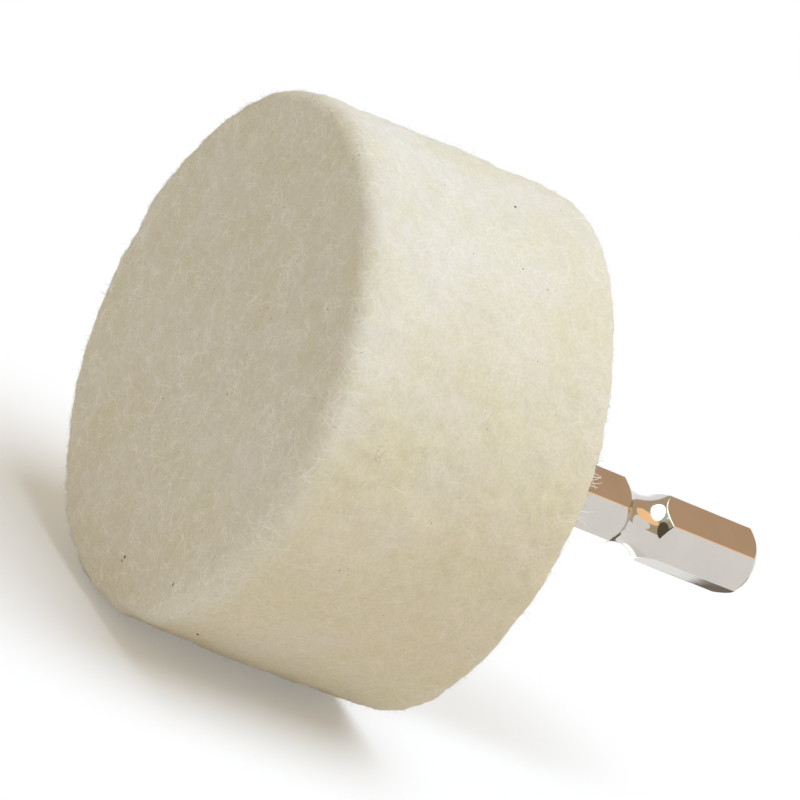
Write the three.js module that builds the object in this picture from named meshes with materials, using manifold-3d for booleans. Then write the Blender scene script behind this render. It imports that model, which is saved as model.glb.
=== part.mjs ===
// Felt polishing wheel on a 1/4 inch hexagonal quick-change shank.
//
// Three separate pieces: a block of pressed wool felt with a blind bore, a steel shank whose
// round spigot stands in that bore, and the cured adhesive that holds the one in the other.
//
// Millimetres, +Z up. The axis of rotation is Y. The origin is the centre of the shank's tail
// end face, the tail points to +Y, and the felt's working face looks to -Y.

import * as THREE from 'three';
import { mergeVertices } from 'three/addons/utils/BufferGeometryUtils.js';
import Module from 'manifold-3d';

// Driving dimensions.
const WHEEL_DIAMETER = 50;
const WHEEL_THICKNESS = 28;
const WHEEL_EDGE_RADIUS = 2;
const SHANK_EXPOSED = 33.8; // tail end face to the back face of the felt

const HEX_ACROSS_FLATS = 6.35; // 1/4 inch
const HEX_CORNER_RADIUS = 0.35;
const TAIL_CHAMFER_LENGTH = 0.8;
const TAIL_FACE_RADIUS = 2.9;

const GROOVE_CENTRE = 13.4; // from the tail end face
const GROOVE_ARC_RADIUS = 3.9;
const NECK_DIAMETER = 5;

const HEX_EMBEDDED = 4; // length of the hexagon inside the felt
const HEX_FRONT_CHAMFER = 0.5;
const SPIGOT_LENGTH = 18;
const SPIGOT_DIAMETER = 5;
const FLUTE_COUNT = 16; // straight knurl that keys the spigot into the adhesive
const FLUTE_DEPTH = 0.25;
const SPIGOT_TIP_CHAMFER = 0.6;

const GLUE_THICKNESS = 0.6;
const GLUE_RING_HEIGHT = 0.9; // bead squeezed out round the shank at the back of the felt
const GLUE_RING_WIDTH = 1.5;
const GAP = 0.3; // clearance left between neighbouring pieces

const WHEEL_SEGMENTS = 72;
const SHANK_SEGMENTS = 60;
const GLUE_SEGMENTS = 48;
const EDGE_STEPS = 5; // steps in a quarter round
const GROOVE_STEPS = 12;
const CORNER_STEPS = 3;

// Stations along Y that follow from the driving dimensions.
const backFace = -SHANK_EXPOSED;
const workingFace = backFace - WHEEL_THICKNESS;
const hexFront = backFace - HEX_EMBEDDED;
const spigotTip = hexFront - SPIGOT_LENGTH;
const hexCornerReach = HEX_ACROSS_FLATS / Math.sqrt(3);
const spigotRadius = SPIGOT_DIAMETER / 2;

const wasm = await Module();
wasm.setup();

function solidFrom(geometry) {
  const bare = geometry.clone();
  bare.deleteAttribute('normal');
  bare.deleteAttribute('uv');
  const merged = mergeVertices(bare);
  return new wasm.Manifold(new wasm.Mesh({
    numProp: 3,
    vertProperties: new Float32Array(merged.attributes.position.array),
    triVerts: new Uint32Array(merged.index.array),
  }));
}

function geometryFrom(solid) {
  const mesh = solid.getMesh();
  const geometry = new THREE.BufferGeometry();
  geometry.setAttribute('position', new THREE.BufferAttribute(mesh.vertProperties, 3));
  geometry.setIndex(new THREE.BufferAttribute(mesh.triVerts, 1));
  geometry.computeVertexNormals();
  return geometry;
}

// Points of an arc in the radius-height plane, both ends included.
function arcPoints(centreR, centreY, radius, fromDegrees, toDegrees, steps) {
  const points = [];
  for (let i = 0; i <= steps; i += 1) {
    const angle = THREE.MathUtils.degToRad(THREE.MathUtils.lerp(fromDegrees, toDegrees, i / steps));
    points.push(new THREE.Vector2(centreR + radius * Math.cos(angle), centreY + radius * Math.sin(angle)));
  }
  return points;
}

// A flat outline in X and Z, swept along Y between two stations.
function prismAlongY(shape, fromY, toY) {
  const geometry = new THREE.ExtrudeGeometry(shape, { depth: toY - fromY, bevelEnabled: false });
  geometry.rotateX(-Math.PI / 2);
  geometry.translate(0, fromY, 0);
  return geometry;
}

// Hexagon with two flats square to X and its corners softly rounded.
function hexagonShape() {
  const centreReach = hexCornerReach - 2 * HEX_CORNER_RADIUS / Math.sqrt(3);
  const points = [];
  for (let corner = 0; corner < 6; corner += 1) {
    const middle = 30 + 60 * corner;
    const reach = THREE.MathUtils.degToRad(middle);
    points.push(...arcPoints(
      centreReach * Math.cos(reach), centreReach * Math.sin(reach),
      HEX_CORNER_RADIUS, middle - 30, middle + 30, CORNER_STEPS,
    ));
  }
  return new THREE.Shape(points);
}

// Circle with straight flutes: the outline of the knurled spigot.
function flutedShape() {
  const points = [];
  const pitch = 2 * Math.PI / FLUTE_COUNT;
  const valley = spigotRadius - FLUTE_DEPTH;
  for (let flute = 0; flute < FLUTE_COUNT; flute += 1) {
    for (const [part, radius] of [[0, spigotRadius], [0.4, spigotRadius], [0.6, valley], [0.8, valley]]) {
      const angle = (flute + part) * pitch;
      points.push(new THREE.Vector2(radius * Math.cos(angle), radius * Math.sin(angle)));
    }
  }
  return new THREE.Shape(points);
}

function feltWheelGeometry() {
  const radius = WHEEL_DIAMETER / 2;
  const edge = radius - WHEEL_EDGE_RADIUS;
  const hexBore = hexCornerReach + 2 * GAP + GLUE_THICKNESS;
  const spigotBore = spigotRadius + 2 * GAP + GLUE_THICKNESS;
  const boreStep = hexFront - 2 * GAP - GLUE_THICKNESS;
  const boreEnd = spigotTip - 2 * GAP - GLUE_THICKNESS;
  const profile = [
    new THREE.Vector2(0, workingFace),
    ...arcPoints(edge, workingFace + WHEEL_EDGE_RADIUS, WHEEL_EDGE_RADIUS, -90, 0, EDGE_STEPS),
    ...arcPoints(edge, backFace - WHEEL_EDGE_RADIUS, WHEEL_EDGE_RADIUS, 0, 90, EDGE_STEPS),
    new THREE.Vector2(hexBore, backFace),
    new THREE.Vector2(hexBore, boreStep),
    new THREE.Vector2(spigotBore, boreStep),
    new THREE.Vector2(spigotBore, boreEnd),
    new THREE.Vector2(0, boreEnd),
  ];
  return new THREE.LatheGeometry(profile, WHEEL_SEGMENTS);
}

// Turned outline of the hexagonal part: front chamfer, detent groove and tail chamfer.
function turnedHexGeometry() {
  const clear = hexCornerReach + 1;
  const hexRadius = HEX_ACROSS_FLATS / 2;
  const arcCentre = NECK_DIAMETER / 2 + GROOVE_ARC_RADIUS;
  const halfAngle = THREE.MathUtils.radToDeg(Math.acos((arcCentre - clear) / GROOVE_ARC_RADIUS));
  const profile = [
    new THREE.Vector2(0, hexFront),
    new THREE.Vector2(hexRadius - HEX_FRONT_CHAMFER, hexFront),
    new THREE.Vector2(clear, hexFront + clear - hexRadius + HEX_FRONT_CHAMFER),
    ...arcPoints(arcCentre, -GROOVE_CENTRE, GROOVE_ARC_RADIUS, 180 + halfAngle, 180 - halfAngle, GROOVE_STEPS),
    new THREE.Vector2(clear, -TAIL_CHAMFER_LENGTH * (clear - TAIL_FACE_RADIUS)
      / (hexCornerReach - TAIL_FACE_RADIUS)),
    new THREE.Vector2(TAIL_FACE_RADIUS, 0),
    new THREE.Vector2(0, 0),
  ];
  return new THREE.LatheGeometry(profile, SHANK_SEGMENTS);
}

// Round tip of the spigot, with a chamfer that leads it into the bore.
function spigotEnvelopeGeometry() {
  const profile = [
    new THREE.Vector2(0, spigotTip),
    new THREE.Vector2(spigotRadius - SPIGOT_TIP_CHAMFER, spigotTip),
    new THREE.Vector2(spigotRadius + GAP, spigotTip + SPIGOT_TIP_CHAMFER + GAP),
    new THREE.Vector2(spigotRadius + GAP, hexFront + 1),
    new THREE.Vector2(0, hexFront + 1),
  ];
  return new THREE.LatheGeometry(profile, SHANK_SEGMENTS);
}

function hexShankGeometry() {
  const hexagon = solidFrom(prismAlongY(hexagonShape(), hexFront - 1, 1));
  const body = hexagon.intersect(solidFrom(turnedHexGeometry()));
  const fluted = solidFrom(prismAlongY(flutedShape(), spigotTip - 1, hexFront + 2));
  const spigot = fluted.intersect(solidFrom(spigotEnvelopeGeometry()));
  return geometryFrom(body.add(spigot));
}

// Cup-shaped film round the spigot and the embedded hexagon, with a bead at its mouth.
function adhesiveSleeveGeometry() {
  const spigotInner = spigotRadius + GAP;
  const hexInner = hexCornerReach + GAP;
  const stepInner = hexFront - GAP;
  const cupFloor = spigotTip - GAP;
  const profile = [
    new THREE.Vector2(0, cupFloor - GLUE_THICKNESS),
    new THREE.Vector2(spigotInner + GLUE_THICKNESS, cupFloor - GLUE_THICKNESS),
    new THREE.Vector2(spigotInner + GLUE_THICKNESS, stepInner - GLUE_THICKNESS),
    new THREE.Vector2(hexInner + GLUE_THICKNESS, stepInner - GLUE_THICKNESS),
    new THREE.Vector2(hexInner + GLUE_THICKNESS, backFace + GAP),
    new THREE.Vector2(hexInner + GLUE_RING_WIDTH, backFace + GAP),
    new THREE.Vector2(hexInner + GLUE_RING_WIDTH * 0.7, backFace + GAP + GLUE_RING_HEIGHT * 0.7),
    new THREE.Vector2(hexInner, backFace + GAP + GLUE_RING_HEIGHT),
    new THREE.Vector2(hexInner, stepInner),
    new THREE.Vector2(spigotInner, stepInner),
    new THREE.Vector2(spigotInner, cupFloor),
    new THREE.Vector2(0, cupFloor),
  ];
  return new THREE.LatheGeometry(profile, GLUE_SEGMENTS);
}

function namedMesh(name, geometry, material) {
  const mesh = new THREE.Mesh(geometry, material);
  mesh.name = name;
  return mesh;
}

const woolFelt = new THREE.MeshStandardMaterial({ color: 0xddd6c0, roughness: 1, metalness: 0 });
const chromedSteel = new THREE.MeshStandardMaterial({ color: 0xcfcbc6, roughness: 0.15, metalness: 1 });
const curedAdhesive = new THREE.MeshStandardMaterial({ color: 0xc9b98a, roughness: 0.35, metalness: 0 });

const wheel = new THREE.Group();
wheel.add(namedMesh('felt_wheel', feltWheelGeometry(), woolFelt));
wheel.add(namedMesh('hex_shank', hexShankGeometry(), chromedSteel));
wheel.add(namedMesh('adhesive_sleeve', adhesiveSleeveGeometry(), curedAdhesive));

export default wheel;
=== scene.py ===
import math

import bmesh
import bpy
import numpy as np
from mathutils import Matrix, Vector


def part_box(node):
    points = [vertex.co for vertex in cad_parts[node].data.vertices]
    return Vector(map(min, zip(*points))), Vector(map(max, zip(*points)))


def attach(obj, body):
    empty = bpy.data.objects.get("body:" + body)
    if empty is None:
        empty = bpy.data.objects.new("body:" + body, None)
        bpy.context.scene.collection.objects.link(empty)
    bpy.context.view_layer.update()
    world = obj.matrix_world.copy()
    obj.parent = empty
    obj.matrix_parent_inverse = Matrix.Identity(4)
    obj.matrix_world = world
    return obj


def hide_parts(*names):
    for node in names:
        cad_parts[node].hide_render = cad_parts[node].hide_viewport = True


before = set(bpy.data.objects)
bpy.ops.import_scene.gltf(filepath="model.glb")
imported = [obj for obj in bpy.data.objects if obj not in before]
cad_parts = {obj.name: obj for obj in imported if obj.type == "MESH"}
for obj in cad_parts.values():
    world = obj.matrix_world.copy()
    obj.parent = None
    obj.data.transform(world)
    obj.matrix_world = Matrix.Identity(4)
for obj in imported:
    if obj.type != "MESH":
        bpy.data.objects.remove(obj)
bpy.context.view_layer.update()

MM = 0.001

# ---------------------------------------------------------------- places taken from the frame

wheel_low, wheel_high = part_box("felt_wheel")
shank_low, shank_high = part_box("hex_shank")
glue_low, glue_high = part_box("adhesive_sleeve")

WHEEL_R = (wheel_high.x - wheel_low.x) / 2
FACE_Y = wheel_low.y
BACK_Y = wheel_high.y
FRONT_EDGE_R = 1.9 * MM
BACK_EDGE_R = 1.6 * MM
WHEEL_MIDDLE = (wheel_low + wheel_high) / 2
FLOOR_Z = wheel_low.z - 0.5 * MM

HEX_FLAT = shank_high.x
HEX_CORNER = HEX_FLAT * 2 / math.sqrt(3)
TAIL_Y = shank_high.y
HEX_FRONT_Y = BACK_Y - 4.0 * MM
SPIGOT_TIP_Y = shank_low.y
SPIGOT_R = 2.5 * MM
HEX_CORNER_R = 0.12 * MM
GROOVE_Y = TAIL_Y - 13.4 * MM

# The stepped blind bore of the felt, and the small gaps round the resin that fills it.
BORE_R = 4.6 * MM
SPIGOT_BORE_R = 3.3 * MM
FELT_GAP = 0.05 * MM
BORE_LIP_Y = BACK_Y - 0.3 * MM
BORE_STEP_Y = HEX_FRONT_Y - 0.6 * MM
BORE_END_Y = glue_low.y - FELT_GAP
SHANK_CLEARANCE = 0.03 * MM

# ---------------------------------------------------------------- camera, light and floor


def add_camera():
    """A long lens from the front right, a little above, rolled so that the tail points down."""
    azimuth = math.radians(59.46)
    elevation = math.radians(13.61)
    roll = math.radians(30.14)
    distance = 404.7 * MM
    aim = WHEEL_MIDDLE + Vector((2.1, 4.9, 2.85)) * MM
    back = Vector((
        math.sin(azimuth) * math.cos(elevation),
        -math.cos(azimuth) * math.cos(elevation),
        math.sin(elevation),
    ))
    level_right = Vector((math.cos(azimuth), math.sin(azimuth), 0))
    level_up = back.cross(level_right)
    right = level_right * math.cos(roll) + level_up * math.sin(roll)
    up = level_up * math.cos(roll) - level_right * math.sin(roll)
    data = bpy.data.cameras.new("camera")
    data.lens = 200.55
    data.sensor_width = 36
    data.clip_end = 20
    camera = bpy.data.objects.new("camera", data)
    turn = Matrix((right, up, back)).transposed().to_4x4()
    camera.matrix_world = Matrix.Translation(aim + back * distance) @ turn
    bpy.context.scene.collection.objects.link(camera)
    bpy.context.scene.camera = camera


def add_sun(name, direction, strength, colour, spread):
    """A soft light from the given direction, spread over that many degrees of the sky."""
    data = bpy.data.lights.new(name, "SUN")
    data.energy = strength
    data.color = colour
    data.angle = math.radians(spread)
    sun = bpy.data.objects.new(name, data)
    sun.visible_glossy = False
    sun.rotation_euler = Vector(direction).to_track_quat("Z", "Y").to_euler()
    bpy.context.scene.collection.objects.link(sun)


def add_world(colour, strength):
    world = bpy.data.worlds.new("studio")
    world.use_nodes = True
    background = world.node_tree.nodes["Background"]
    background.inputs["Color"].default_value = (*colour, 1)
    background.inputs["Strength"].default_value = strength
    bpy.context.scene.world = world


def add_floor():
    """A wide sheet of plain pale paper. It glows weakly, so that the wheel's shadow stays light."""
    half = 3.0
    mesh = bpy.data.meshes.new("floor")
    corners = [(-half, -half, 0), (half, -half, 0), (half, half, 0), (-half, half, 0)]
    mesh.from_pydata(corners, [], [(0, 1, 2, 3)])
    floor = bpy.data.objects.new("floor", mesh)
    floor.location.z = FLOOR_Z
    material = bpy.data.materials.new("floor_paper")
    material.use_nodes = True
    shader = material.node_tree.nodes["Principled BSDF"]
    shader.inputs["Base Color"].default_value = (0.68, 0.68, 0.68, 1)
    shader.inputs["Emission Color"].default_value = (1, 1, 1, 1)
    shader.inputs["Emission Strength"].default_value = 0.2
    shader.inputs["Roughness"].default_value = 1
    shader.inputs["Specular IOR Level"].default_value = 0
    mesh.materials.append(material)
    bpy.context.scene.collection.objects.link(floor)


def add_card(name, toward, width, height, colour, distance, facing=None):
    """An oval card of the studio that only reflections in the shank see. Its sizes and its
    distance are in millimetres. It faces a spot on the axis beside the groove, if no other way is
    given."""
    sides = 48
    spot = Vector((0, -12, 0)) * MM
    toward = Vector(toward).normalized()
    facing = Vector(facing) if facing else -toward
    turns = [2 * math.pi * k / sides for k in range(sides)]
    corners = [(width / 2 * MM * math.cos(t), height / 2 * MM * math.sin(t), 0) for t in turns]
    mesh = bpy.data.meshes.new(name)
    mesh.from_pydata(corners, [], [list(range(sides))])
    card = bpy.data.objects.new(name, mesh)
    card.location = spot + toward * distance * MM
    card.rotation_euler = facing.to_track_quat("Z", "Y").to_euler()
    card.visible_camera = False
    card.visible_diffuse = False
    card.visible_shadow = False
    material = bpy.data.materials.new(name)
    material.use_nodes = True
    shader = material.node_tree.nodes["Principled BSDF"]
    shader.inputs["Base Color"].default_value = (0, 0, 0, 1)
    shader.inputs["Specular IOR Level"].default_value = 0
    shader.inputs["Emission Color"].default_value = (*colour, 1)
    shader.inputs["Emission Strength"].default_value = 1
    mesh.materials.append(material)
    bpy.context.scene.collection.objects.link(card)


def add_cards():
    """What the polished shank mirrors: a lamp overhead with warm boards behind it, a dark corner,
    a narrow window, pale walls, a lit patch of paper, and something brown beyond the paper."""
    add_card("brown_card", (-0.24, 0.68, 0.72), 84, 84, (0.64, 0.43, 0.28), 140)
    add_card("lamp_card", (0.17, -0.015, 0.98), 98, 204, (3.0, 3.0, 3.0), 150)
    add_card("orange_card", (0.55, 0.42, 0.70), 326, 104, (1.35, 0.84, 0.46), 175)
    add_card("dark_card", (0.80, -0.50, 0.31), 78, 138, (0.12, 0.11, 0.07), 140)
    add_card("window_card", (-0.05, -0.50, 0.87), 150, 20, (1.4, 1.3, 1.32), 150)
    add_card("green_card", (0.25, -0.38, 0.90), 160, 110, (0.60, 0.66, 0.56), 165)
    add_card("pale_card", (0.72, 0.62, 0.25), 240, 128, (1.0, 0.98, 0.97), 185)
    add_card("wall_card", (-0.90, 0.35, 0.25), 280, 180, (1.04, 1.04, 1.08), 170)
    add_card("lit_paper_card", (-0.62, 0.303, -0.723), 26, 16, (1.7, 1.7, 1.7), 34.7, (0, 0, 1))
    add_card("paper_edge_card", (-0.43, 0.76, -0.49), 33, 31, (0.19, 0.155, 0.125), 45)


bpy.context.scene.view_settings.view_transform = "Standard"
add_camera()
add_world((1.0, 0.837, 0.585), 0.547)
add_sun("key", (0.31, 0.20, 0.93), 2.913, (0.735, 0.839, 1.0), 50)
add_floor()
add_cards()

# ---------------------------------------------------------------- mesh helpers


def unit(vectors):
    """The vectors scaled to length one."""
    return vectors / np.maximum(np.linalg.norm(vectors, axis=-1, keepdims=True), 1e-12)


class Waves:
    """A smooth random field over space: plane waves in every direction, near one wavelength."""

    def __init__(self, rng, wavelength, height, count=40):
        lengths = wavelength * rng.uniform(0.65, 1.5, count)
        self.wave = unit(rng.normal(size=(count, 3))) * (2 * math.pi / lengths)[:, None]
        self.phase = rng.uniform(0, 2 * math.pi, count)
        self.height = height * math.sqrt(2 / count)

    def __call__(self, points):
        flat = points.reshape(-1, 3)
        total = np.zeros(len(flat))
        for wave, phase in zip(self.wave, self.phase):
            total += np.cos(flat @ wave + phase)
        return (self.height * total).reshape(points.shape[:-1])


def mesh_piece(name, points, faces, material):
    """A smoothly shaded piece that rides with the root body."""
    mesh = bpy.data.meshes.new(name)
    mesh.from_pydata(points.tolist(), [], faces)
    mesh.validate()
    mesh.shade_smooth()
    mesh.materials.append(material)
    piece = bpy.data.objects.new(name, mesh)
    bpy.context.scene.collection.objects.link(piece)
    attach(piece, "root")
    return piece


def ring_faces(near, far):
    """Quads between two rings of point numbers, both counter-clockwise seen from near's side."""
    near_next, far_next = np.roll(near, -1), np.roll(far, -1)
    return np.stack([near, far, far_next, near_next], -1).tolist()


# ---------------------------------------------------------------- the felt's surface

# Swellings, lumps, knots and grain, each with its wavelength and height.
shape_rng = np.random.default_rng(11)
FELT_WAVES = [
    Waves(shape_rng, 22 * MM, 0.10 * MM),
    Waves(shape_rng, 6 * MM, 0.05 * MM),
    Waves(shape_rng, 2.2 * MM, 0.035 * MM),
    Waves(shape_rng, 1.0 * MM, 0.022 * MM),
]

# How the front and the back of the true wheel differ from a plain cylinder: the change in
# radius, the (x, z) shift, and how far each face leans along Y at the rim, towards x and z.
FRONT_SWELL = -0.10 * MM
BACK_SWELL = 0.30 * MM
FRONT_SHIFT = (0.21 * MM, 0.02 * MM)
BACK_SHIFT = (0.30 * MM, 0.07 * MM)
FRONT_LEAN = (0.24 * MM, -0.69 * MM)
BACK_LEAN = (-0.21 * MM, -0.93 * MM)


def nearest_on_felt(points):
    """The nearest points on the plain rounded cylinder, and its outward normals there."""
    radius = np.hypot(points[..., 0], points[..., 2])
    edge = np.where(points[..., 1] < WHEEL_MIDDLE.y, FRONT_EDGE_R, BACK_EDGE_R)
    core_radius = np.clip(radius, 0, WHEEL_R - edge)
    core_y = np.clip(points[..., 1], FACE_Y + FRONT_EDGE_R, BACK_Y - BACK_EDGE_R)
    out_radius, out_y = radius - core_radius, points[..., 1] - core_y
    length = np.maximum(np.hypot(out_radius, out_y), 1e-12)
    out_radius, out_y = out_radius / length, out_y / length
    safe = np.maximum(radius, 1e-12)
    cos_a, sin_a = points[..., 0] / safe, points[..., 2] / safe
    normal = np.stack([out_radius * cos_a, out_y, out_radius * sin_a], -1)
    surface_radius = core_radius + edge * out_radius
    surface = np.stack([surface_radius * cos_a, core_y + edge * out_y, surface_radius * sin_a], -1)
    return surface, normal


def lumps(points):
    """How far the uneven felt stands off its plain shape at each point."""
    return sum(wave(points) for wave in FELT_WAVES)


def warped(points):
    """The true wheel is a little out of round, and sits a little askew on its shank: both faces
    lean, and the back is wider. The bore stays where it is."""
    x, y, z = points[..., 0], points[..., 1], points[..., 2]
    forward = np.clip((BACK_Y - y) / (BACK_Y - FACE_Y), 0, 1)
    outer = np.clip((np.hypot(x, z) - BORE_R) / (WHEEL_R - BORE_R), 0, 1)
    swell = outer * (BACK_SWELL + (FRONT_SWELL - BACK_SWELL) * forward) / WHEEL_R
    shift = [
        outer * (back + (front - back) * forward)
        for front, back in zip(FRONT_SHIFT, BACK_SHIFT)
    ]
    front_lean = forward * (FRONT_LEAN[0] * x + FRONT_LEAN[1] * z) / WHEEL_R
    back_lean = (1 - forward) * outer * (BACK_LEAN[0] * x + BACK_LEAN[1] * z) / WHEEL_R
    return np.stack([
        x * (1 + swell) + shift[0],
        y + front_lean + back_lean,
        z * (1 + swell) + shift[1],
    ], -1)


def raised(points, height=0.0):
    """Points on the real, uneven felt, or that far above it."""
    surface, normal = nearest_on_felt(points)
    return warped(surface + normal * (lumps(surface) + height)[..., None])


# ---------------------------------------------------------------- materials


def new_material(name):
    material = bpy.data.materials.new(name)
    material.use_nodes = True
    nodes = material.node_tree.nodes
    return material, nodes, material.node_tree.links, nodes["Principled BSDF"]


def noise(nodes, links, where, scale, detail, distortion=0.0):
    """Smooth noise over space, with about that many clouds to a metre."""
    node = nodes.new("ShaderNodeTexNoise")
    node.inputs["Scale"].default_value = scale
    node.inputs["Detail"].default_value = detail
    node.inputs["Distortion"].default_value = distortion
    links.new(where, node.inputs["Vector"])
    return node.outputs["Fac"]


def ramp(nodes, links, value, stops):
    """The colour at a value, between stops of (position, colour)."""
    node = nodes.new("ShaderNodeValToRGB")
    while len(node.color_ramp.elements) < len(stops):
        node.color_ramp.elements.new(0.5)
    for element, (position, colour) in zip(node.color_ramp.elements, stops):
        element.position = position
        element.color = (*colour, 1)
    links.new(value, node.inputs["Fac"])
    return node.outputs["Color"]


def mix(nodes, links, first, second, factor, mode="MIX"):
    """Two colours mixed. Each input may be another node's socket or a plain value."""
    node = nodes.new("ShaderNodeMix")
    node.data_type = "RGBA"
    node.blend_type = mode
    sockets = {s.identifier: s for s in node.inputs}
    for value, socket in (
        (factor, sockets["Factor_Float"]),
        (first, sockets["A_Color"]),
        (second, sockets["B_Color"]),
    ):
        if isinstance(value, bpy.types.NodeSocket):
            links.new(value, socket)
        elif isinstance(value, tuple):
            socket.default_value = (*value, 1)
        else:
            socket.default_value = value
    return next(s for s in node.outputs if s.identifier == "Result_Color")


def tinted(nodes, links, where, colour, scale, low, high, detail=2.0):
    """The colour times a tint that drifts between low and high over the surface."""
    value = noise(nodes, links, where, scale, detail)
    tint = ramp(nodes, links, value, [(0.36, low), (0.64, high)])
    return mix(nodes, links, colour, tint, 1.0, "MULTIPLY")


def painted_light_and_shade(nodes, links, where, colour):
    """The colour with painted light and shade: it turns darker and yellower from the top down, and a
    little from front to back, as painted shade, and is paler and bluer at the top, as painted light.
    The working face instead turns a shade paler from the top down, painted shade at its top."""
    down_and_back = (0, 7, -18)
    at_origin = 0.835
    face_depth = 4 * MM
    along = nodes.new("ShaderNodeVectorMath")
    along.operation = "DOT_PRODUCT"
    along.inputs[1].default_value = down_and_back
    links.new(where, along.inputs[0])
    shifted = nodes.new("ShaderNodeMath")
    shifted.operation = "ADD"
    shifted.inputs[1].default_value = at_origin
    links.new(along.outputs["Value"], shifted.inputs[0])
    # Painted light and shade on the sides: paler and bluer at the top, darker and yellower towards the
    # bottom.
    tint = ramp(nodes, links, shifted.outputs["Value"], [
        (0.00, (1.03, 1.07, 1.17)), (0.13, (1.02, 1.04, 1.09)), (0.22, (1.01, 1.01, 1.01)),
        (0.30, (0.985, 0.98, 0.955)), (0.44, (0.965, 0.94, 0.87)), (0.75, (0.96, 0.905, 0.83)),
        (0.95, (0.94, 0.895, 0.82)),
    ])
    # Painted shade on the working face: darker at its top, paler towards its bottom.
    face_painted_shade = ramp(nodes, links, shifted.outputs["Value"], [
        (0.00, (0.95, 0.96, 0.98)), (0.22, (0.945, 0.955, 0.975)), (0.45, (0.975, 0.985, 1.02)),
        (0.85, (1.02, 1.04, 1.07)),
    ])
    split = nodes.new("ShaderNodeSeparateXYZ")
    links.new(where, split.inputs["Vector"])
    off_face = nodes.new("ShaderNodeMapRange")
    off_face.inputs["From Min"].default_value = FACE_Y
    off_face.inputs["From Max"].default_value = FACE_Y + face_depth
    links.new(split.outputs["Y"], off_face.inputs["Value"])
    painted_shade_tint = mix(nodes, links, face_painted_shade, tint, off_face.outputs["Result"])
    return mix(nodes, links, colour, painted_shade_tint, 1.0, "MULTIPLY")


def felt_material():
    """Pressed cream wool: yellowish clouds, a pink and green drift, fine mottling and grain."""
    material, nodes, links, shader = new_material("pressed_wool")
    where = nodes.new("ShaderNodeTexCoord").outputs["Object"]
    colour = (0.676, 0.641, 0.551)
    colour = tinted(nodes, links, where, colour, 130, (0.97, 0.96, 0.89), (1.0, 1.0, 1.0), 3)
    colour = tinted(nodes, links, where, colour, 300, (1.0, 0.995, 0.955), (1.0, 0.992, 0.995))
    colour = tinted(nodes, links, where, colour, 1100, (0.955, 0.955, 0.915), (1.0, 0.985, 0.985))
    colour = tinted(nodes, links, where, colour, 3600, (0.95, 0.95, 0.94), (1.03, 1.03, 1.03))
    # Painted light and shade: paler and bluer at the top, darker and yellower towards the bottom.
    colour = painted_light_and_shade(nodes, links, where, colour)
    links.new(colour, shader.inputs["Base Color"])
    shader.inputs["Roughness"].default_value = 1
    shader.inputs["Specular IOR Level"].default_value = 0.1
    grain = noise(nodes, links, where, 2600, 4, 1.5)
    bump = nodes.new("ShaderNodeBump")
    bump.inputs["Strength"].default_value = 0.35
    bump.inputs["Distance"].default_value = 0.04 * MM
    links.new(grain, bump.inputs["Height"])
    links.new(bump.outputs["Normal"], shader.inputs["Normal"])
    return material


def fibre_material(name, pale, deep):
    """Wool strands whose tone changes from strand to strand."""
    material, nodes, links, shader = new_material(name)
    where = nodes.new("ShaderNodeTexCoord").outputs["Object"]
    tone = noise(nodes, links, where, 700, 2)
    colour = ramp(nodes, links, tone, [(0.35, deep), (0.62, pale)])
    # Painted light and shade, as on the felt: darker and yellower towards the bottom.
    links.new(painted_light_and_shade(nodes, links, where, colour), shader.inputs["Base Color"])
    shader.inputs["Roughness"].default_value = 0.8
    shader.inputs["Specular IOR Level"].default_value = 0.1
    return material


def chrome_material():
    """Bright plating with faint clouds in its tone and its polish."""
    material, nodes, links, shader = new_material("bright_chrome")
    where = nodes.new("ShaderNodeTexCoord").outputs["Object"]
    shader.inputs["Metallic"].default_value = 1
    tint = ramp(nodes, links, noise(nodes, links, where, 300, 2), [
        (0.3, (0.60, 0.572, 0.525)), (0.7, (0.635, 0.607, 0.56)),
    ])
    links.new(tint, shader.inputs["Base Color"])
    smears = noise(nodes, links, where, 600, 5)
    rough = nodes.new("ShaderNodeMapRange")
    rough.inputs["From Min"].default_value = 0.3
    rough.inputs["From Max"].default_value = 0.7
    rough.inputs["To Min"].default_value = 0.05
    rough.inputs["To Max"].default_value = 0.11
    links.new(smears, rough.inputs["Value"])
    links.new(rough.outputs["Result"], shader.inputs["Roughness"])
    return material


def resin_material():
    """Cloudy amber resin, set hard and a little glossy."""
    material, nodes, links, shader = new_material("cured_resin")
    where = nodes.new("ShaderNodeTexCoord").outputs["Object"]
    cloud = noise(nodes, links, where, 900, 3)
    amber = ramp(nodes, links, cloud, [(0.3, (0.60, 0.50, 0.28)), (0.7, (0.76, 0.69, 0.48))])
    links.new(amber, shader.inputs["Base Color"])
    shader.inputs["Roughness"].default_value = 0.25
    shader.inputs["Coat Weight"].default_value = 0.3
    return material


FELT = felt_material()
PALE_WOOL = fibre_material("pale_wool", (0.785, 0.75, 0.665), (0.66, 0.618, 0.522))
FUZZ_WOOL = fibre_material("fuzz_wool", (0.77, 0.735, 0.65), (0.665, 0.62, 0.525))
MATTED_WOOL = fibre_material("matted_wool", (0.745, 0.71, 0.625), (0.665, 0.62, 0.53))
# The rim hairs' wool is whiter than the rest. This is painted light, so that hairs standing in shade
# look lit.
STRAY_WOOL_PAINTED_LIGHT = fibre_material("stray_wool_painted_light", (0.93, 0.90, 0.87), (0.86, 0.82, 0.77))
BLUE_WOOL = fibre_material("blue_grey_wool", (0.55, 0.60, 0.60), (0.33, 0.37, 0.38))
BROWN_WOOL = fibre_material("brown_wool", (0.52, 0.44, 0.32), (0.36, 0.29, 0.19))
ROSE_WOOL = fibre_material("rose_wool", (0.72, 0.58, 0.55), (0.62, 0.48, 0.45))
CHAFF = fibre_material("plant_chaff", (0.11, 0.065, 0.04), (0.04, 0.022, 0.015))
CHROME = chrome_material()
RESIN = resin_material()

# ---------------------------------------------------------------- felt body


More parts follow.
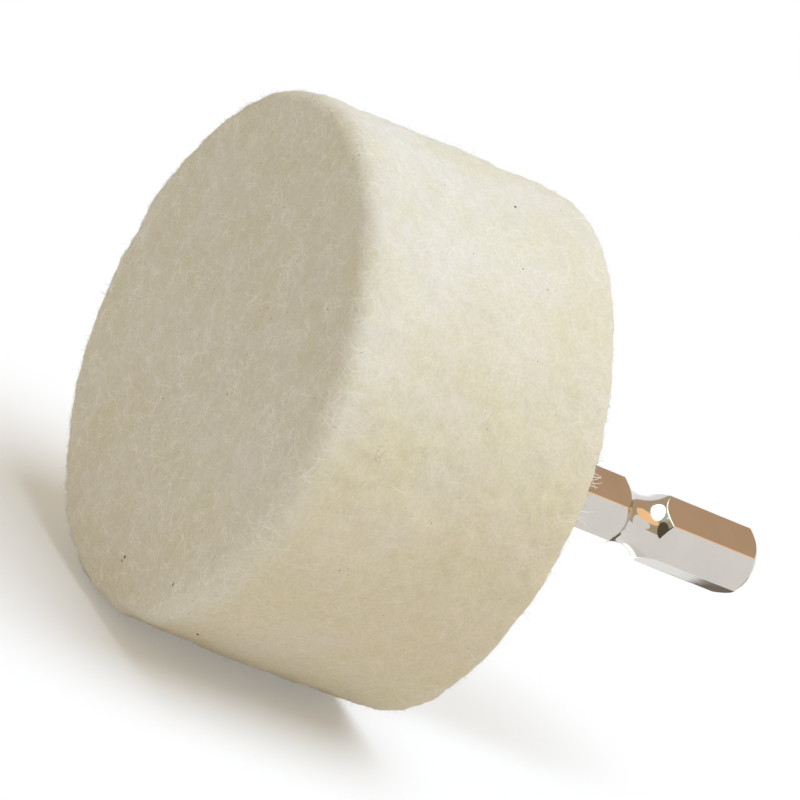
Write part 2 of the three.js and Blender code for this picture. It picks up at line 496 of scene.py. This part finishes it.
def disc_grid(across):
    """Points of a unit disc as a square grid drawn out to a circle, and its boundary in order."""
    steps = np.linspace(-1, 1, across + 1)
    u, v = np.meshgrid(steps, steps, indexing="ij")
    swap = np.abs(v) > np.abs(u)
    long, short = np.where(swap, v, u), np.where(swap, u, v)
    turn = math.pi / 4 * short / np.where(long == 0, 1, long)
    x, y = long * np.cos(turn), long * np.sin(turn)
    points = np.where(swap[..., None], np.stack([y, x], -1), np.stack([x, y], -1))
    index = np.arange((across + 1) ** 2).reshape(across + 1, across + 1)
    rim = np.concatenate([index[:-1, 0], index[-1, :-1], index[:0:-1, -1], index[0, :0:-1]])
    quads = np.stack(
        [index[:-1, :-1], index[1:, :-1], index[1:, 1:], index[:-1, 1:]], -1
    ).reshape(-1, 4)
    return points.reshape(-1, 2), quads, rim


def felt_body():
    """The felt block with a blind bore: a gridded front face, then rings round to the bore."""
    squares_across = 112
    edge_steps = 8
    side_steps = 63
    back_steps = 41
    disc, quads, rim = disc_grid(squares_across)
    front_flat = WHEEL_R - FRONT_EDGE_R
    back_flat = WHEEL_R - BACK_EDGE_R
    front = np.stack([disc[:, 0] * front_flat, np.full(len(disc), FACE_Y), disc[:, 1] * front_flat], -1)
    around = len(rim)
    direction = unit(front[rim] * [1, 0, 1])
    quarter = np.radians(np.linspace(0, 90, edge_steps + 1))
    stations = [
        (front_flat + FRONT_EDGE_R * math.sin(a), FACE_Y + FRONT_EDGE_R * (1 - math.cos(a)))
        for a in quarter[1:]
    ]
    side = np.linspace(FACE_Y + FRONT_EDGE_R, BACK_Y - BACK_EDGE_R, side_steps + 1)
    stations += [(WHEEL_R, y) for y in side[1:]]
    stations += [
        (back_flat + BACK_EDGE_R * math.cos(a), BACK_Y - BACK_EDGE_R * (1 - math.sin(a)))
        for a in quarter[1:]
    ]
    stations += [(r, BACK_Y) for r in np.linspace(back_flat, BORE_R, back_steps + 1)[1:]]
    rings = np.array([direction * [r, 0, r] + [0, y, 0] for r, y in stations])
    skin = raised(np.concatenate([front, rings.reshape(-1, 3)]))
    bore_stations = [
        (BORE_R, BORE_LIP_Y), (BORE_R, BORE_STEP_Y),
        (SPIGOT_BORE_R, BORE_STEP_Y), (SPIGOT_BORE_R, BORE_END_Y),
    ]
    bore = [direction * [r, 0, r] + [0, y, 0] for r, y in bore_stations]
    points = np.concatenate([skin, *bore])
    loops = [rim]
    loops += [len(front) + around * i + np.arange(around) for i in range(len(rings) + len(bore))]
    faces = quads.tolist()
    for near, far in zip(loops, loops[1:]):
        faces += ring_faces(near, far)
    faces.append(loops[-1][::-1].tolist())
    return mesh_piece("felt_body", points, faces, FELT)


body = felt_body()
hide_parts("felt_wheel")

# ---------------------------------------------------------------- wool fibres

# A strand's thickness over its width, lying or standing.
FLAT = 0.2
ROUND = 1.0


def scattered(rng, count, zone):
    """Random points, evenly spread over the front face, the round side or the back face."""
    turn = rng.uniform(0, 2 * math.pi, count)
    clear_of_bead = BORE_R + 2 * MM
    if zone == "side":
        radius = np.full(count, WHEEL_R)
        y = rng.uniform(FACE_Y, BACK_Y, count)
    else:
        inner = 0 if zone == "face" else clear_of_bead
        radius = np.sqrt(rng.uniform(inner**2, WHEEL_R**2, count))
        y = np.full(count, FACE_Y if zone == "face" else BACK_Y)
    return np.stack([radius * np.cos(turn), y, radius * np.sin(turn)], -1)


def turned(vectors, axes, angles):
    """Vectors turned about unit axes."""
    cos_a, sin_a = np.cos(angles)[:, None], np.sin(angles)[:, None]
    along = (vectors * axes).sum(-1, keepdims=True) * axes
    return (vectors - along) * cos_a + np.cross(axes, vectors) * sin_a + along


def lying_strands(rng, starts, steps, lengths, tightest, lift):
    """Curly strands that lie on the felt: each walks over it with a slowly changing bend, and
    arches off it a little. Returns their points and the felt's normals there."""
    count = len(starts)
    place, normal = nearest_on_felt(starts)
    heading = unit(np.cross(normal, rng.normal(size=(count, 3))))
    step = lengths / (steps - 1)
    bend = rng.normal(size=count) * 0.5 / tightest
    swing = rng.uniform(0.2, 1.0, count) / tightest
    phase = rng.uniform(0, 2 * math.pi, count)
    pace = rng.uniform(0.3, 0.9, count)
    places, normals = [], []
    for k in range(steps):
        places.append(place)
        normals.append(normal)
        heading = turned(heading, normal, (bend + swing * np.sin(phase + pace * k)) * step)
        place, normal = nearest_on_felt(place + heading * step[:, None])
        heading = unit(heading - normal * (heading * normal).sum(-1, keepdims=True))
    places, normals = np.stack(places, 1), np.stack(normals, 1)
    along = np.linspace(0, 1, steps)
    arch = rng.uniform(0, 1, (count, 1)) ** 2 * np.sin(math.pi * along) ** 2
    flick = rng.uniform(0, 1, (count, 1)) ** 4 * along**3
    height = lift * (0.15 + arch + flick)
    return warped(places + normals * (lumps(places) + height)[..., None]), normals


def standing_hairs(rng, starts, steps, lengths, tightest):
    """Fine hairs that leave the felt at a slant and curl as they go."""
    count = len(starts)
    foot, normal = nearest_on_felt(starts)
    tangent = unit(np.cross(normal, rng.normal(size=(count, 3))))
    slant = rng.uniform(0.1, 1.25, count)[:, None]
    heading = normal * np.cos(slant) + tangent * np.sin(slant)
    axis = unit(rng.normal(size=(count, 3)))
    step = lengths / (steps - 1)
    bend = rng.normal(size=count) / tightest
    root_depth = 0.03 * MM
    place = raised(foot, -root_depth)
    places = []
    for _ in range(steps):
        places.append(place)
        place = place + heading * step[:, None]
        heading = unit(turned(heading, axis, bend * step))
        axis = unit(axis + 0.3 * rng.normal(size=(count, 3)))
    return np.stack(places, 1), np.repeat(normal[:, None], steps, 1)


def strand_piece(name, paths, normals, radius, material, flatness=FLAT):
    """One mesh of closed three-sided tubes, one along each path, thinner towards their ends. A
    flattened strand lies flat side up and takes the light as the felt under it does. The strands
    are too fine for their shadows, or the light they pass on, to show."""
    count, steps = paths.shape[:2]
    along = unit(np.gradient(paths, axis=1))
    side = unit(np.cross(along, normals + 0.01))
    other = np.cross(along, side)
    taper = 0.35 + 0.65 * np.sin(math.pi * np.linspace(0.06, 0.94, steps)) ** 0.5
    size = (radius[:, None] * taper)[..., None]
    corners = [(0, flatness), (-1, 0), (1, 0)]
    outward = np.stack([across * side + down * other for across, down in corners], 2)
    points = (paths[:, :, None] + size[:, :, None] * outward).reshape(-1, 3)
    index = np.arange(count * steps * 3).reshape(count, steps, 3)
    near, far = index[:, :-1], index[:, 1:]
    near_next, far_next = np.roll(near, -1, 2), np.roll(far, -1, 2)
    walls = np.concatenate([
        np.stack([near, far_next, far], -1).reshape(-1, 3),
        np.stack([near, near_next, far_next], -1).reshape(-1, 3),
    ])
    caps = np.concatenate([index[:, 0, ::-1], index[:, -1]])
    piece = mesh_piece(name, points, np.concatenate([walls, caps]).tolist(), material)
    shading = unit(normals[:, :, None] + flatness * outward).reshape(-1, 3)
    piece.data.normals_split_custom_set_from_vertices(shading.tolist())
    piece.visible_shadow = False
    piece.visible_diffuse = False
    return piece


def add_fibres():
    """Strands that lie on every side of the felt, and shorter fuzz that stands up from it. The
    lengths, the tightest bend, the lift and the radii are in millimetres."""
    lying_steps = 9
    fuzz_steps = 4
    fuzz_curl = 0.7
    shortest_fuzz = 0.1
    longest_fuzz = 1.1
    rng = np.random.default_rng(7)
    for zone, count, length, tightest, lift, thinnest, thickest, wool in (
        ("face", 3200, 4.2, 0.9, 0.20, 0.014, 0.034, PALE_WOOL),
        ("side", 2400, 3.0, 1.1, 0.08, 0.010, 0.020, MATTED_WOOL),
        ("back", 2000, 4.0, 0.9, 0.20, 0.014, 0.032, PALE_WOOL),
    ):
        starts = scattered(rng, count, zone)
        lengths = length * MM * rng.uniform(0.4, 1.5, count)
        bend, arch = tightest * MM, lift * MM
        paths, normals = lying_strands(rng, starts, lying_steps, lengths, bend, arch)
        radius = rng.uniform(thinnest, thickest, count) * MM
        strand_piece(f"{zone}_fibres", paths, normals, radius, wool)
    for zone, count in (("face", 5000), ("side", 6500), ("back", 4000)):
        starts = scattered(rng, count, zone)
        lengths = rng.gamma(3, 0.13, count).clip(shortest_fuzz, longest_fuzz) * MM
        paths, normals = standing_hairs(rng, starts, fuzz_steps, lengths, fuzz_curl * MM)
        radius = rng.uniform(0.006, 0.012, count) * MM
        strand_piece(f"{zone}_fuzz", paths, normals, radius, FUZZ_WOOL, ROUND)


add_fibres()

# ---------------------------------------------------------------- marks and specks in the felt


def on_side(degrees, back_from_face):
    """A place on the round side, that many millimetres behind the front face."""
    angle = math.radians(degrees)
    return [WHEEL_R * math.cos(angle), FACE_Y + back_from_face * MM, WHEEL_R * math.sin(angle)]


def on_face(degrees, radius):
    """A place on the front face, that many millimetres from its centre."""
    angle = math.radians(degrees)
    return [radius * MM * math.cos(angle), FACE_Y, radius * MM * math.sin(angle)]


def tuft(rng, name, places, material, each, spread, length):
    """Short curly strands of another colour, caught in the felt round each place. The spread
    and the length are in millimetres."""
    steps = 7
    centres = np.repeat(np.array(places), each, 0)
    starts = centres + rng.normal(size=centres.shape) * spread * MM
    count = len(starts)
    lengths = length * MM * rng.uniform(0.5, 1.4, count)
    paths, normals = lying_strands(rng, starts, steps, lengths, 0.5 * MM, 0.02 * MM)
    radius = rng.uniform(0.010, 0.022, count) * MM
    strand_piece(name, paths, normals, radius, material)


def chaff_bit(rng, place, length, width):
    """A flattened crumb of dark plant matter, half sunk in the felt."""
    ball = bmesh.new()
    bmesh.ops.create_icosphere(ball, subdivisions=3, radius=1)
    points = np.array([v.co for v in ball.verts])
    faces = [[v.index for v in f.verts] for f in ball.faces]
    ball.free()
    _, normal = nearest_on_felt(np.array(place))
    long = unit(np.cross(normal, rng.normal(size=3)))
    short = np.cross(normal, long)
    ripple = np.sin(points * rng.uniform(2, 5, 3) + rng.uniform(0, 6, 3))
    rough = 1 + 0.25 * ripple.sum(-1, keepdims=True) / 3
    points = points * rough * [length / 2, width / 2, width / 3] * MM
    centre = raised(np.array(place))
    return centre + points @ np.stack([long, short, normal]), faces


def add_chaff():
    """A few larger bits of chaff, each with its length and width in millimetres, and many crumbs
    too small to have a place of their own."""
    rng = np.random.default_rng(5)
    bits = [
        (on_face(-76, 20.2), 0.34, 0.24), (on_face(-77, 20.6), 0.26, 0.20),
        (on_face(-48, 22.6), 0.30, 0.26), (on_side(-56, 5.2), 0.24, 0.20),
        (on_face(-7, 8.0), 0.14, 0.11), (on_side(76, 17.5), 0.26, 0.20),
        (on_side(58, 17.0), 0.16, 0.12), (on_side(-118, 9.0), 0.20, 0.16),
        (on_side(164, 20.0), 0.24, 0.16), (on_side(118, 12.0), 0.16, 0.12),
        (on_face(131, 17.0), 0.14, 0.10), (on_face(40, 13.5), 0.12, 0.10),
    ]
    for _ in range(60):
        crumb = rng.uniform(0.06, 0.13)
        bits.append((on_side(rng.uniform(0, 360), rng.uniform(1, 27)), crumb, crumb * 0.7))
    for _ in range(24):
        crumb = rng.uniform(0.08, 0.14)
        bits.append((on_face(rng.uniform(0, 360), rng.uniform(2, 23)), crumb, crumb * 0.7))
    points, faces, start = [], [], 0
    for place, length, width in bits:
        bit_points, bit_faces = chaff_bit(rng, place, length, width)
        points.append(bit_points)
        faces += [[start + i for i in face] for face in bit_faces]
        start += len(bit_points)
    piece = mesh_piece("plant_chaff", np.concatenate(points), faces, CHAFF)


def add_marks():
    """Small tufts of blue-grey, brown and rose wool that got into the felt."""
    rng = np.random.default_rng(3)
    blue = [on_side(73, 4.2), on_side(75, 5.2), on_side(66, 2.6), on_side(82, 7.0), on_side(8, 23.0)]
    blue += [on_side(-13, 21.0), on_side(150, 15.0), on_side(-150, 7.0), on_side(200, 19.0)]
    tuft(rng, "blue_grey_fibres", blue, BLUE_WOOL, 5, 0.35, 0.9)
    brown = [on_side(8, 6.3), on_side(11, 6.6), on_side(-95, 14.0), on_side(105, 20.0)]
    brown.append(on_face(160, 9.0))
    tuft(rng, "brown_fibres", brown, BROWN_WOOL, 5, 0.35, 0.8)
    rose = [on_side(-43, 11.0), on_side(-39, 12.5), on_side(-160, 10.0)]
    tuft(rng, "rose_fibres", rose, ROSE_WOOL, 9, 0.6, 1.0)


def add_rim_hairs():
    """Longer stray hairs that stand out backwards from the rim, in front of the shank as the
    camera sees it."""
    rng = np.random.default_rng(21)
    count = 13
    steps = 8
    thickness = (BACK_Y - FACE_Y) / MM
    degrees = rng.uniform(11, 25, count)
    from_back = rng.uniform(0, 0.9, count)
    starts = np.array([on_side(d, thickness - b) for d, b in zip(degrees, from_back)])
    foot, normal = nearest_on_felt(starts)
    heading = unit(normal * 0.45 + [0, 1, 0] + 0.45 * rng.normal(size=foot.shape))
    step = rng.uniform(0.08, 0.22, count)[:, None] * MM
    axis = unit(rng.normal(size=foot.shape))
    bend = rng.normal(size=count) * 0.12
    root_depth = 0.05 * MM
    place = raised(foot, -root_depth)
    places = []
    for _ in range(steps):
        places.append(place)
        place = place + heading * step
        heading = turned(heading, axis, bend)
    normals = np.repeat(normal[:, None], steps, 1)
    radius = rng.uniform(0.022, 0.036, count) * MM
    # Their whiter wool is painted light.
    strand_piece("rim_hairs", np.stack(places, 1), normals, radius, STRAY_WOOL_PAINTED_LIGHT, ROUND)


add_chaff()
add_marks()
add_rim_hairs()

# ---------------------------------------------------------------- shank


def hexagon_outline(angles, corner):
    """Distance from the axis to a hexagon with rounded corners, flats square to X."""
    turn = (angles + math.pi / 6) % (math.pi / 3) - math.pi / 6
    flat = HEX_FLAT / np.cos(turn)
    out = 2 / math.sqrt(3)
    centre = (HEX_FLAT - corner) * out
    off = math.pi / 6 - np.abs(turn)
    rounded = centre * np.cos(off) + np.sqrt(np.maximum(corner**2 - (centre * np.sin(off)) ** 2, 0))
    start = math.pi / 6 - math.atan2(corner / 2, HEX_FLAT * out - corner * (out - 1))
    return np.where(np.abs(turn) > start, np.minimum(rounded, flat), flat)


def fluted_outline(angles):
    """Distance from the axis to the knurled spigot."""
    flutes = 16
    depth = 0.25 * MM
    return SPIGOT_R - depth * (0.5 - 0.5 * np.cos(flutes * angles)) ** 2


def hexagon_stations():
    """(y, turned radius) along the hexagonal part, from the tail end inwards: the tail's chamfer,
    the groove's arc, the plain body, and the chamfer at the sunk end. A radius beyond the
    hexagon's corners cuts nothing."""
    face_radius = 2.9 * MM
    tail_chamfer = 0.8 * MM
    past_corners = 1.3
    arc = 3.9 * MM
    neck = 2.5 * MM
    clear = HEX_CORNER + 0.4 * MM
    front_radius = HEX_FLAT - 0.5 * MM
    front_chamfer = clear - front_radius
    tail_rings = 27
    groove_rings = 91
    body_rings = 16
    front_rings = 12
    for t in np.linspace(0, past_corners, tail_rings):
        yield TAIL_Y - tail_chamfer * t, face_radius + (HEX_CORNER - face_radius) * t
    half = math.acos((neck + arc - clear) / arc)
    for turn in half * np.linspace(-1, 1, groove_rings):
        yield GROOVE_Y - arc * math.sin(turn), neck + arc * (1 - math.cos(turn))
    groove_end = GROOVE_Y - arc * math.sin(half)
    for y in np.linspace(groove_end, HEX_FRONT_Y + front_chamfer, body_rings)[1:]:
        yield y, clear
    for t in np.linspace(0, 1, front_rings)[1:]:
        yield HEX_FRONT_Y + front_chamfer * (1 - t), clear - front_chamfer * t


def spigot_stations():
    """(y, turned radius) along the spigot, from the hexagon to its chamfered tip."""
    chamfer = 0.6 * MM
    for y in np.linspace(HEX_FRONT_Y, SPIGOT_TIP_Y + chamfer, 12):
        yield y, SPIGOT_R
    yield SPIGOT_TIP_Y, SPIGOT_R - chamfer


def lofted(name, angles, rings, material):
    """A closed skin through rings of (y, radius at each angle), with a cap on the first and on
    the last. Along the outside of the piece they run from +Y to -Y."""
    around = len(angles)
    turn = np.stack([np.cos(angles), np.sin(angles)], -1)
    points = [
        np.stack([radius * turn[:, 0], np.full(around, y), radius * turn[:, 1]], -1)
        for y, radius in rings[::-1]
    ]
    loops = [around * i + np.arange(around) for i in range(len(rings))]
    faces = [loops[0].tolist(), loops[-1][::-1].tolist()]
    for near, far in zip(loops, loops[1:]):
        faces += ring_faces(near, far)
    return mesh_piece(name, np.concatenate(points), faces, material)


def hex_shank():
    """The shank in one piece: the hexagon and the knurled spigot, each cut by its radii."""
    around = 192
    angles = np.arange(around) * 2 * math.pi / around
    hexagon, fluted = hexagon_outline(angles, HEX_CORNER_R), fluted_outline(angles)
    rings = [(y, np.minimum(hexagon, limit)) for y, limit in hexagon_stations()]
    rings += [(y, np.minimum(fluted, limit)) for y, limit in spigot_stations()]
    return lofted("hex_shank_chromed", angles, rings, CHROME)


def adhesive_sleeve():
    """The cured resin: a cup round the spigot and the sunk end of the hexagon, with a rounded,
    slightly uneven bead where it was squeezed out on to the back of the felt."""
    around = 96
    angles = np.arange(around) * 2 * math.pi / around
    waves = Waves(np.random.default_rng(17), 4 * MM, 0.09 * MM, 20)
    hexagon = hexagon_outline(angles, HEX_CORNER_R) + SHANK_CLEARANCE
    spigot = fluted_outline(angles) + SHANK_CLEARANCE
    inside_step = HEX_FRONT_Y - SHANK_CLEARANCE
    inside_end = SPIGOT_TIP_Y - SHANK_CLEARANCE
    rings = [(inside_end, spigot), (inside_step, spigot), (inside_step, hexagon), (BACK_Y, hexagon)]
    foot = glue_high.x
    crest = glue_high.y - BACK_Y
    bead_meets_shank = BACK_Y + 0.9 * crest
    near_crest = 80
    under_felt = -8
    bead_rings = 12
    rings.append((bead_meets_shank, hexagon))
    foot_x, foot_z = foot * np.cos(angles), foot * np.sin(angles)
    for t in np.radians(np.linspace(near_crest, under_felt, bead_rings)):
        places = np.stack([foot_x, np.full(around, t * MM), foot_z], -1)
        reach = hexagon + (foot - hexagon) * math.cos(t) + waves(places) * math.cos(t)
        rings.append((BACK_Y + crest * math.sin(t), reach))
    for radius, y in (
        (BORE_R, BORE_LIP_Y - FELT_GAP), (BORE_R, BORE_STEP_Y + FELT_GAP),
        (SPIGOT_BORE_R, BORE_STEP_Y + FELT_GAP), (SPIGOT_BORE_R, BORE_END_Y + FELT_GAP),
    ):
        rings.append((y, np.full(around, radius - SHANK_CLEARANCE)))
    return lofted("adhesive_sleeve_cured", angles, rings, RESIN)


shank = hex_shank()
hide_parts("hex_shank")

sleeve = adhesive_sleeve()
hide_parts("adhesive_sleeve")
